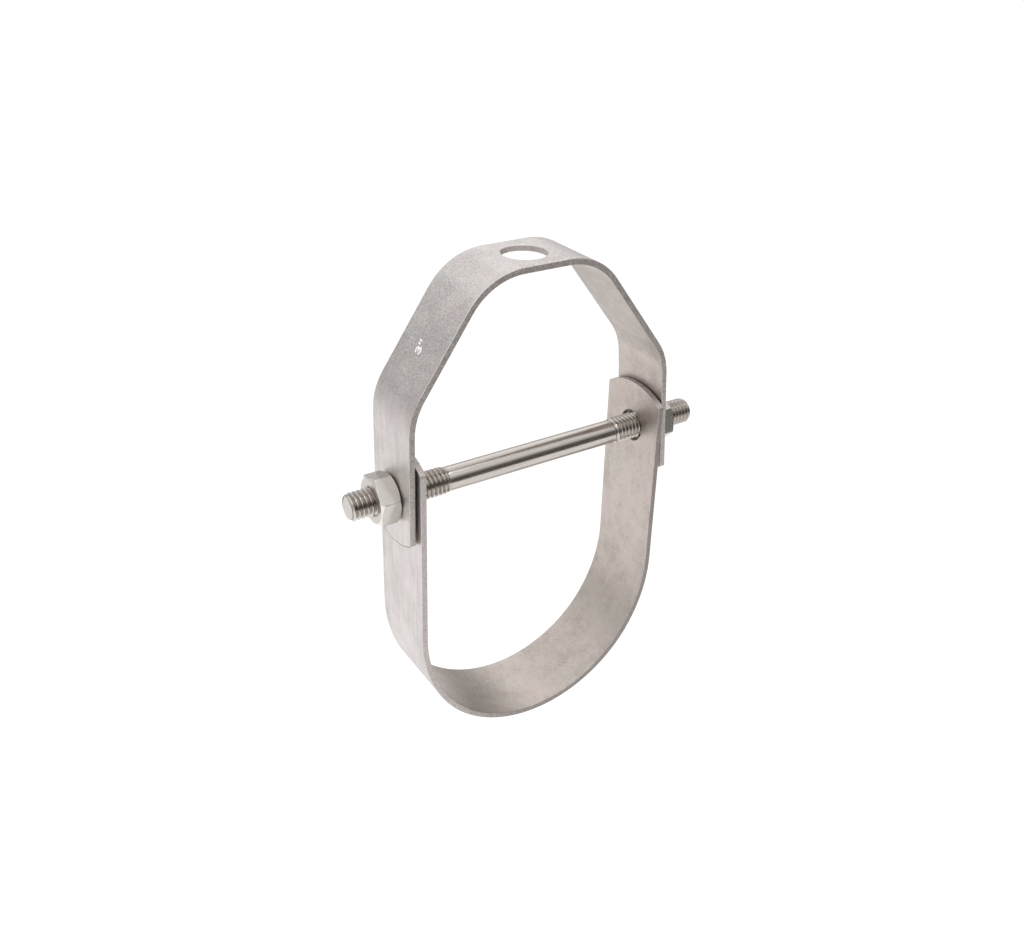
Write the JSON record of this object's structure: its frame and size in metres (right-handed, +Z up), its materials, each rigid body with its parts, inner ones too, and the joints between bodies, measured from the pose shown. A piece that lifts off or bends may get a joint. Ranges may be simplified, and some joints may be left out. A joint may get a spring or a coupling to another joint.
{
  "type": "clevis pipe hanger",
  "caption": "Clevis hanger that carries a horizontal pipe from a threaded rod: bent yoke, swinging U strap and a nutted cross bolt.",
  "frame": {"origin": "centre of the rod hole at the top face of the yoke", "axes": "+Z up along the hanger rod, +X along the cross bolt, +Y along the pipe"},
  "size_m": [0.134, 0.0278, 0.1711],
  "materials": {
    "strip_steel": "tumbled, satin",
    "fastener_steel": "machined, bright satin"
  },
  "bodies": {
    "yoke": {"yoke": "strip_steel"},
    "cradle": {"cradle_strap": "strip_steel"},
    "bolt": {"cross_bolt": "fastener_steel"},
    "nut_left": {"nut_left": "fastener_steel"},
    "nut_right": {"nut_right": "fastener_steel"}
  },
  "joints": [
    {"name": "cradle_swing", "type": "hinge", "parent": "yoke", "child": "cradle", "pos_m": [0, 0, -0.0705], "axis": [1, 0, 0], "range_deg": [-90, 90]},
    {"name": "bolt_turn", "type": "hinge", "parent": "yoke", "child": "bolt", "pos_m": [0, 0, -0.0705], "axis": [1, 0, 0], "continuous": true},
    {"name": "nut_left_turn", "type": "hinge", "parent": "bolt", "child": "nut_left", "pos_m": [-0.0506, 0, -0.0705], "axis": [1, 0, 0], "continuous": true},
    {"name": "nut_right_turn", "type": "hinge", "parent": "bolt", "child": "nut_right", "pos_m": [0.0572, 0, -0.0705], "axis": [1, 0, 0], "continuous": true}
  ]
}
